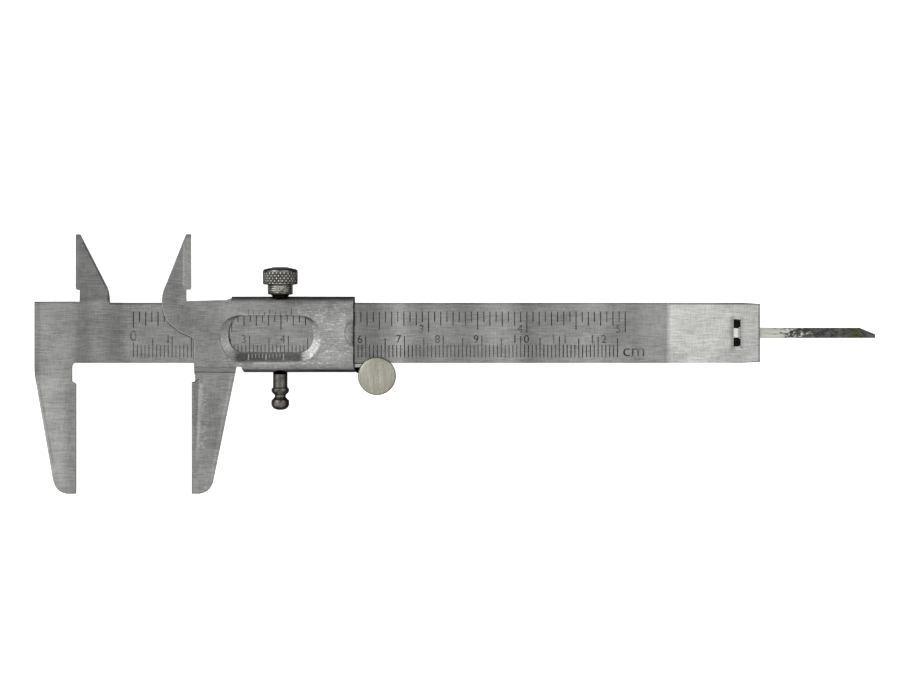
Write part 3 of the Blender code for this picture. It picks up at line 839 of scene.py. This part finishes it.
BEAM_PATCHES = [
    # painted reflections: light and dark bands across the beam, from the head to the bright right
    # end
    ((-9, -3), None, 2.0, 0.1), ((-11, -1.8), (-40, -11), 1.2, 0.23), ((0, 4), (-9, 9), 1.0, -0.22),
    ((0, 13), (-9, 9), 1.2, -0.1), ((8, 12.5), (-9, 9), 1.2, -0.2), ((13, 30), None, 1.2, -0.07),
    ((72, 79), None, 1.5, -0.28), ((82, 85), None, 1.2, 0.35), ((88, 91), None, 1.5, -0.18),
    ((97, 103), None, 1.5, -0.16), ((107, 112.5), None, 1.5, 0.25),
    ((115.5, 119), None, 1.2, -0.24), ((131, 137), None, 2.0, 0.22),
    ((146, 153), None, 1.5, 0.15), ((153.2, 200), None, 0.7, 1.1), ((168, 200), None, 4.0, -0.33),
    # inside jaw: darker, with painted shade along its right-hand edge and a painted highlight on
    # its knife edge
    ((-1, 12), (8.3, 27), 0.6, -0.32), ((13.75, 14.5), (11.5, 23.5), 0.08, -0.4, -0.508),
    ((8.35, 9.0), (8.1, 11.6), 0.1, -0.4), ((0.3, 0.85), (11.5, 24), 0.1, 0.14),
    ((-1, 3), (24.5, 27), 0.2, -0.12),
    # outside jaw: painted shade line along its bevel and a duller strip by the measuring edge
    ((-11.95, -11.4), (-34, -13), 0.15, -0.3, -0.176), ((-2.9, -0.95), (-39, -13), 0.5, -0.12),
    ((-11.2, -9.1), (-13, 8.2), 0.25, -0.14),
    # painted shade along the long edges, and darker towards the right end
    ((8.7, 60), (7.3, 8.4), 0.1, -0.4), ((-11, 0), (7.7, 8.4), 0.1, -0.4),
    ((71, 153.4), (7.35, 8.4), 0.1, -0.3), ((153.4, 183), (7.3, 8.4), 0.1, -1.2),
    ((176.4, 183), None, 0.08, -1.1), ((174.6, 183), (-8.4, -7.3), 0.2, -1.0),
    # painted shade around the end slot
    ((169.1, 170.3), (-4.8, 4.2), 0.45, -0.8), ((171.7, 172.5), (-4.2, 4.0), 0.25, -0.4)]


SLIDER_PATCHES = [
    # plate: dull at the left, bright at the right, with a painted highlight along the lower rim
    ((20, 36), (-9, 30), 1.5, -0.12), ((62.5, 71), (-8, 5), 1.5, 0.26),
    ((38, 66), (-9.2, -7.3), 0.4, 0.05), ((46, 61.5), (-8.1, -7.6), 0.12, 0.4),
    ((66, 73), (-1.5, 4.5), 1.0, 0.1),
    # moving inside jaw: duller, with painted highlights along its knife edge and its back
    ((28.2, 31), (11, 24.6), 0.1, 0.06), ((27.85, 28.25), (12, 23), 0.08, 0.35),
    ((18, 28), (10, 27), 1.0, -0.12), ((18, 31), (24.5, 27), 0.15, -0.25),
    ((18.45, 18.85), (13, 24.2), 0.06, 0.4, 0.3947),
    # painted shade on the vernier's bevel and along the lower fold
    ((41.5, 58.5), (-7.45, -5.2), 0.4, -0.5), ((62, 72), (-10.4, -9.5), 0.2, -0.35),
    ((44, 62), (-10.4, -9.9), 0.1, -0.3),
    # painted light on the upper part of the pressed rim, keeping it hardly darker than the plate,
    # and a painted highlight along its top edge
    ((39, 45), (1.5, 5.2), 0.8, 0.16), ((57, 63.5), (1.5, 5.2), 0.8, 0.16),
    ((43, 59), (4.3, 4.7), 0.12, 0.4),
    # moving outside jaw: painted light and shade at the fold and on the fold valley's slopes,
    # painted highlight on its right-hand edge
    ((30.6, 42), (-10.05, -8.9), 0.2, 0.5), ((30.6, 42), (-10.4, -10.0), 0.1, -0.28),
    ((30.65, 31.75), (-36, -12.6), 0.2, -0.25), ((33.1, 34.0), (-33, -12.9), 0.4, 0.26, 0.07),
    ((33, 38), (-31, -16), 1.5, -0.16),
    ((42.35, 42.95), (-38, -11), 0.25, 0.22, 0.2038), ((30, 38), (-42, -33), 1.0, 0.12),
    # painted shade in the thumb hollow
    ((69.9, 72), (-3.1, 3.1), 0.5, -0.32)]
SLIDER_FLECKS = [((58, 71.3), (-7.5, 7.5), 1.5, 0.8), ((38, 66), (-9.2, -7.0), 0.5, 0.6),
                 ((31.5, 34), (-30, -13), 0.6, 0.6), ((38.5, 44), (-8, 7), 1.5, 0.25)]


def engraving_ink(name, dark, pale, faded):
    """Blackened groove, worn pale in places; faded is a list of (X range, Y range, amount)."""
    s = Shader(name)
    wear_and_shade = s.noise((420, 420, 420), detail=3.0, roughness=0.6)
    fine = s.noise((3000, 3000, 3000), detail=2.0)
    worn = s.remap(wear_and_shade, 0.42, 0.72)
    for x_range, y_range, amount in faded:
        worn = s.math("ADD", s.math("MULTIPLY", s.area(x_range, y_range, 1.0), amount), worn)
    colour = s.mix(worn, dark, pale)
    roughness = s.remap(fine, 0.3, 0.7, 0.55, 0.8)
    return s.finish(colour, roughness, s.bump(fine, 0.00002, 0.4), metallic=0.5)


def gunmetal(name, crest, patches):
    """Blackened steel rubbed bright where it stands furthest from the screw's axis.

    crest is that distance in metres. A patch is (Y range in datum millimetres, factor on the
    colour); a factor below 0 gives black.
    """
    s = Shader(name)
    distance = s.distance(("X", x_at(SCREW_X)), ("Z", SCREW_Z * MM))
    rubbed = s.remap(distance, crest - 0.00013, crest - 0.00002)
    collar = COLLAR_RADIUS * MM
    ribs = s.math("MULTIPLY", s.band("Y", y_at(RIDGE_BAND[0]), y_at(RIDGE_BAND[1]), 0.00005),
                  s.remap(distance, collar - 0.00018, collar - 0.00003))
    rubbed = s.math("MAXIMUM", rubbed, ribs)
    speckle = s.noise((2400, 2400, 2400), detail=4.0, roughness=0.65)
    cloud = s.noise((600, 600, 600), detail=3.0, roughness=0.6, offset=(1.0, 4.0, 2.0))
    worn = s.math("MULTIPLY", rubbed, s.remap(speckle, 0.35, 0.55))
    base = s.mix(s.remap(cloud, 0.35, 0.65), (0.055, 0.052, 0.047), (0.15, 0.143, 0.13))
    colour = s.mix(worn, base, (0.6, 0.59, 0.56))
    gain = 1.0
    for (start, end), factor in patches:
        area = s.band("Y", y_at(start), y_at(end), 0.0001)
        gain = s.math("ADD", s.math("MULTIPLY", area, factor - 1), gain)
    colour = s.scaled(colour, gain)
    roughness = s.remap(speckle, 0.3, 0.7, 0.26, 0.42)
    return s.finish(colour, roughness, s.bump(speckle, 0.00003, 0.4))


def worn_nickel():
    """Nickel-plated disc brushed across its face, with warm tarnish towards its rim."""
    s = Shader("worn_nickel")
    streaks = s.noise((2400, 170, 2400), detail=5.0, roughness=0.7)
    cloud = s.noise((330, 330, 330), detail=4.0, roughness=0.6, distortion=0.5)
    distance = s.distance(("X", x_at(ROLLER_X)), ("Y", y_at(ROLLER_Y)))
    outward = s.math("ADD", s.remap(distance, 0.0015, 0.0052),
                     s.remap(cloud, 0.3, 0.7, -0.35, 0.35))
    base = s.mix(s.remap(outward, 0.0, 1.0), (0.51, 0.5, 0.46), (0.39, 0.378, 0.293))
    speck = s.noise((2300, 2000, 2300), detail=3.0, roughness=0.65, offset=(0.3, 0.9, 2.0))
    base = s.scaled(base, s.remap(speck, 0.32, 0.68, 0.74, 1.26))
    colour = s.mix(s.remap(streaks, 0.3, 0.72), (0.3, 0.29, 0.235), base)
    return s.finish(colour, s.remap(cloud, 0.3, 0.7, 0.3, 0.45), s.bump(streaks, 0.00003, 0.4))


def rod_steel():
    """Ground rod: bright inside the beam, tarnished and mottled at its outer end."""
    s = Shader("rod_steel")
    streaks = s.noise((200, 2600, 2600), detail=4.0, roughness=0.7)
    mottle = s.noise((700, 1300, 1100), detail=5.0, roughness=0.7)
    spots = s.noise((900, 1500, 1500), detail=3.0, roughness=0.6, offset=(2.0, 0.4, 1.0))
    edge = s.math("ADD", s.axis("X"), s.remap(spots, 0.3, 0.7, -0.006, 0.006))
    outside = s.remap(edge, x_at(183.6), x_at(186.4))
    bright = s.mix(s.remap(streaks, 0.3, 0.7), (0.36, 0.36, 0.33), (0.72, 0.72, 0.66))
    dull = s.mix(s.remap(mottle, 0.42, 0.68), (0.04, 0.04, 0.039), (0.15, 0.15, 0.148))
    colour = s.mix(outside, bright, dull)
    along = s.axis("X")
    rubbed = s.math("MULTIPLY", s.remap(along, x_at(130), x_at(169)),
                    s.remap(along, x_at(171.1), x_at(171.3), 1.0, 0.0))
    rubbed = s.math("MULTIPLY", rubbed, s.remap(streaks, 0.2, 0.5))
    colour = s.mix(rubbed, colour, (0.88, 0.88, 0.85))
    stained = s.math("MULTIPLY", s.band("X", x_at(200.0), x_at(203.0), 0.0012),
                     s.remap(mottle, 0.3, 0.6))
    colour = s.mix(stained, colour, (0.075, 0.075, 0.025))
    return s.finish(colour, s.remap(mottle, 0.3, 0.7, 0.3, 0.5), s.bump(streaks, 0.00002, 0.5))


def plain_metal(name, dark, light, rough):
    """Small plated or blackened piece with mottled colour; rough is the range of its roughness."""
    s = Shader(name)
    cloud = s.noise((1200, 1200, 1200), detail=4.0, roughness=0.65)
    fine = s.noise((4800, 4800, 4800), detail=2.0)
    colour = s.mix(s.remap(cloud, 0.35, 0.65), dark, light)
    return s.finish(colour, s.remap(fine, 0.3, 0.7, *rough), s.bump(fine, 0.00002, 0.3))


def keep_node(node, mat, edge):
    """Show a CAD node with welded, rounded edges and a finished material."""
    obj = frame["nodes"][node]
    weld = obj.modifiers.new("weld", "WELD")
    weld.merge_threshold = WELD_REACH * MM
    round_edges(obj, edge * MM)
    for slot in obj.material_slots:
        slot.material = mat


# ---------------------------------------------------------------- build

FADED_LINES = [((13, 31), (-7, -2), 0.6), ((40, 62), (-7, -2), 0.85), ((89, 116), (-7, -2), 0.55),
               ((40, 62), (1.5, 7), 0.15)]
FADED_NUMERALS = [((40, 57), (-3, 0), 0.45), ((12, 18), (-3, 1.2), 0.45)]
SCREW_CREST = 0.00455
# screw: painted shade on the neck under the collar and on the head's shoulder, painted light on the
# collar and the dome
SCREW_PATCHES = [((7, 9.93), 0.05), ((9.93, 12.42), 1.9), ((15.64, 16.4), 0.4),
                 ((16.42, 16.88), 4.5)]
PIN_CREST = 0.0036
# pin: painted shadow of the slider's edge at its top; lighter further down
PIN_PATCHES = [((-10.7, -9.0), -0.6), ((-13.2, -10.9), 1.15), ((-20, -14.4), 1.3)]

beam_mat = brushed_steel("beam_steel", (0.17, 0.17, 0.166), (0.36, 0.36, 0.352),
                         patches=BEAM_PATCHES)
# engraving ink, also the painted shade of the slider's dark strips and slanted end
ink_and_shade_mat = engraving_ink("engraving_ink", (0.012, 0.012, 0.011), (0.15, 0.15, 0.144), FADED_LINES)
worn_ink_mat = engraving_ink("worn_ink", (0.025, 0.025, 0.023), (0.22, 0.22, 0.21), FADED_NUMERALS)
slider_mat = brushed_steel("slider_steel", (0.15, 0.15, 0.147), (0.36, 0.36, 0.352),
                           patches=SLIDER_PATCHES, flecks=SLIDER_FLECKS)
zinc_mat = plain_metal("rivet_zinc", (0.2, 0.2, 0.19), (0.36, 0.36, 0.34), (0.3, 0.5))
# near black, darker than blackened steel: on the rod keeper and the roller's arm it also paints the
# shade deep in the slot and behind the roller
black_and_shade_mat = plain_metal("black_steel", (0.004, 0.004, 0.004), (0.02, 0.02, 0.019), (0.5, 0.75))
brass_mat = plain_metal("tarnished_brass", (0.035, 0.025, 0.01), (0.09, 0.065, 0.03), (0.45, 0.6))
gib_mat = brushed_steel("gib_steel", (0.3, 0.3, 0.29), (0.5, 0.5, 0.48), stain=0.3)
carrier_mat = brushed_steel("carrier_steel", (0.16, 0.16, 0.155), (0.33, 0.33, 0.32))
# bare metal of the vernier lines, also the painted highlight strip along the plate's curved edge
bare_metal_and_highlight_mat = plain_metal("bare_metal_and_highlight", (0.3, 0.3, 0.29), (0.5, 0.5, 0.485), (0.4, 0.6))
screw_mat = gunmetal("screw_gunmetal", SCREW_CREST, SCREW_PATCHES)
pin_mat = gunmetal("pin_gunmetal", PIN_CREST, PIN_PATCHES)

make_beam((beam_mat, ink_and_shade_mat, worn_ink_mat))
make_slider((slider_mat, ink_and_shade_mat, bare_metal_and_highlight_mat))
make_lock_screw(screw_mat)
make_brake_pin(pin_mat)
make_thumb_roller(worn_nickel())
for rivet_node in sorted(name for name in frame["nodes"] if "rivet" in name):
    make_rivet(rivet_node, zinc_mat)

# CAD nodes that keep their shape: node, material, edge radius in millimetres
KEPT = [("depth_rod", rod_steel(), 0.12), ("depth_rod_keeper", black_and_shade_mat, 0.1),
        ("rod_carrier", carrier_mat, 0.12), ("roller_arm", black_and_shade_mat, 0.12),
        ("roller_washer", zinc_mat, 0.04), ("roller_clip", black_and_shade_mat, 0.05),
        ("lock_pad", brass_mat, 0.05), ("gib_strip", gib_mat, 0.1)]
for kept_node, kept_mat, kept_edge in KEPT:
    keep_node(kept_node, kept_mat, kept_edge)


# ---------------------------------------------------------------- stage, light and camera

def make_floor():
    """Plain pale table top under the caliper."""
    bm = bmesh.new()
    bmesh.ops.create_grid(bm, x_segments=1, y_segments=1, size=2.0)
    s = Shader("pale_floor")
    soft = s.noise((6, 6, 6), detail=2.0)
    colour = s.mix(soft, (0.9, 0.9, 0.9), (0.92, 0.92, 0.92))
    fine = s.noise((900, 900, 900), detail=2.0)
    roughness = s.remap(fine, 0.3, 0.7, 0.85, 0.95)
    mat = s.finish(colour, roughness, s.bump(fine, 0.00001, 0.1), metallic=0.0)
    s.bsdf.inputs["Specular IOR Level"].default_value = 0.1
    s.bsdf.inputs["Emission Color"].default_value = (1.0, 1.0, 1.0, 1.0)
    s.bsdf.inputs["Emission Strength"].default_value = 0.85
    floor = object_from("floor", bm, (mat,))
    floor.visible_glossy = False


# Light from around, as steps added to a base brightness: (direction, from, to, amount), where
# from and to are cosines of the angle to the direction. The last two are broad glows.
SKY_BASE = 0.98
SKY_LEAST = 0.08
SKY_STEPS = [((0, 1, 0), 0.02, 0.5, -0.55), ((0, -1, 0), 0.5, 1.0, -0.15),
             ((1, 0, 0), 0.15, 0.8, -0.35), ((-1, 0, 0), 0.25, 0.8, 0.1),
             ((0, 0, -1), -0.4, 0.1, -0.9), ((0, 0, -1), 0.55, 0.95, 0.5),
             ((-0.58, 0.48, 0.66), 0.89, 0.98, 3.0), ((0.6, 0.34, 0.72), 0.9, 0.99, 1.7)]


def make_sky():
    """Soft surround: darker beyond the inside jaws and to the right, with two broad glows."""
    world = bpy.data.worlds.new("studio")
    world.use_nodes = True
    bpy.context.scene.world = world
    tree = world.node_tree
    background = tree.nodes["Background"]
    place = tree.nodes.new("ShaderNodeTexCoord").outputs["Generated"]
    total = None
    for direction, start, end, amount in SKY_STEPS:
        along = tree.nodes.new("ShaderNodeVectorMath")
        along.operation = "DOT_PRODUCT"
        tree.links.new(place, along.inputs[0])
        along.inputs[1].default_value = Vector(direction).normalized()
        step = tree.nodes.new("ShaderNodeMapRange")
        step.interpolation_type = "SMOOTHSTEP"
        step.inputs["From Min"].default_value = start
        step.inputs["From Max"].default_value = end
        step.inputs["To Min"].default_value = 0.0
        step.inputs["To Max"].default_value = amount
        tree.links.new(along.outputs["Value"], step.inputs["Value"])
        add = tree.nodes.new("ShaderNodeMath")
        add.inputs[0].default_value = SKY_BASE
        if total is not None:
            tree.links.new(total, add.inputs[0])
        tree.links.new(step.outputs["Result"], add.inputs[1])
        total = add.outputs["Value"]
    least = tree.nodes.new("ShaderNodeMath")
    least.operation = "MAXIMUM"
    least.inputs[1].default_value = SKY_LEAST
    tree.links.new(total, least.inputs[0])
    tree.links.new(least.outputs["Value"], background.inputs["Strength"])
    background.inputs["Color"].default_value = (1.0, 1.0, 0.99, 1.0)


VIEW_DISTANCE = 0.95
VIEW_WIDTH = 0.2324
SENSOR_WIDTH = 36.0
VIEW_CENTRE = (96.75, -1.2)


def make_camera():
    """Camera straight above the beam."""
    data = bpy.data.cameras.new("camera")
    data.sensor_width = SENSOR_WIDTH
    data.lens = SENSOR_WIDTH * VIEW_DISTANCE / VIEW_WIDTH
    camera = bpy.data.objects.new("camera", data)
    camera.location = (x_at(VIEW_CENTRE[0]), y_at(VIEW_CENTRE[1]), BEAM_FACE * MM + VIEW_DISTANCE)
    bpy.context.collection.objects.link(camera)
    bpy.context.scene.camera = camera


make_floor()
make_sky()
make_camera()
bpy.context.scene.view_settings.view_transform = "Standard"
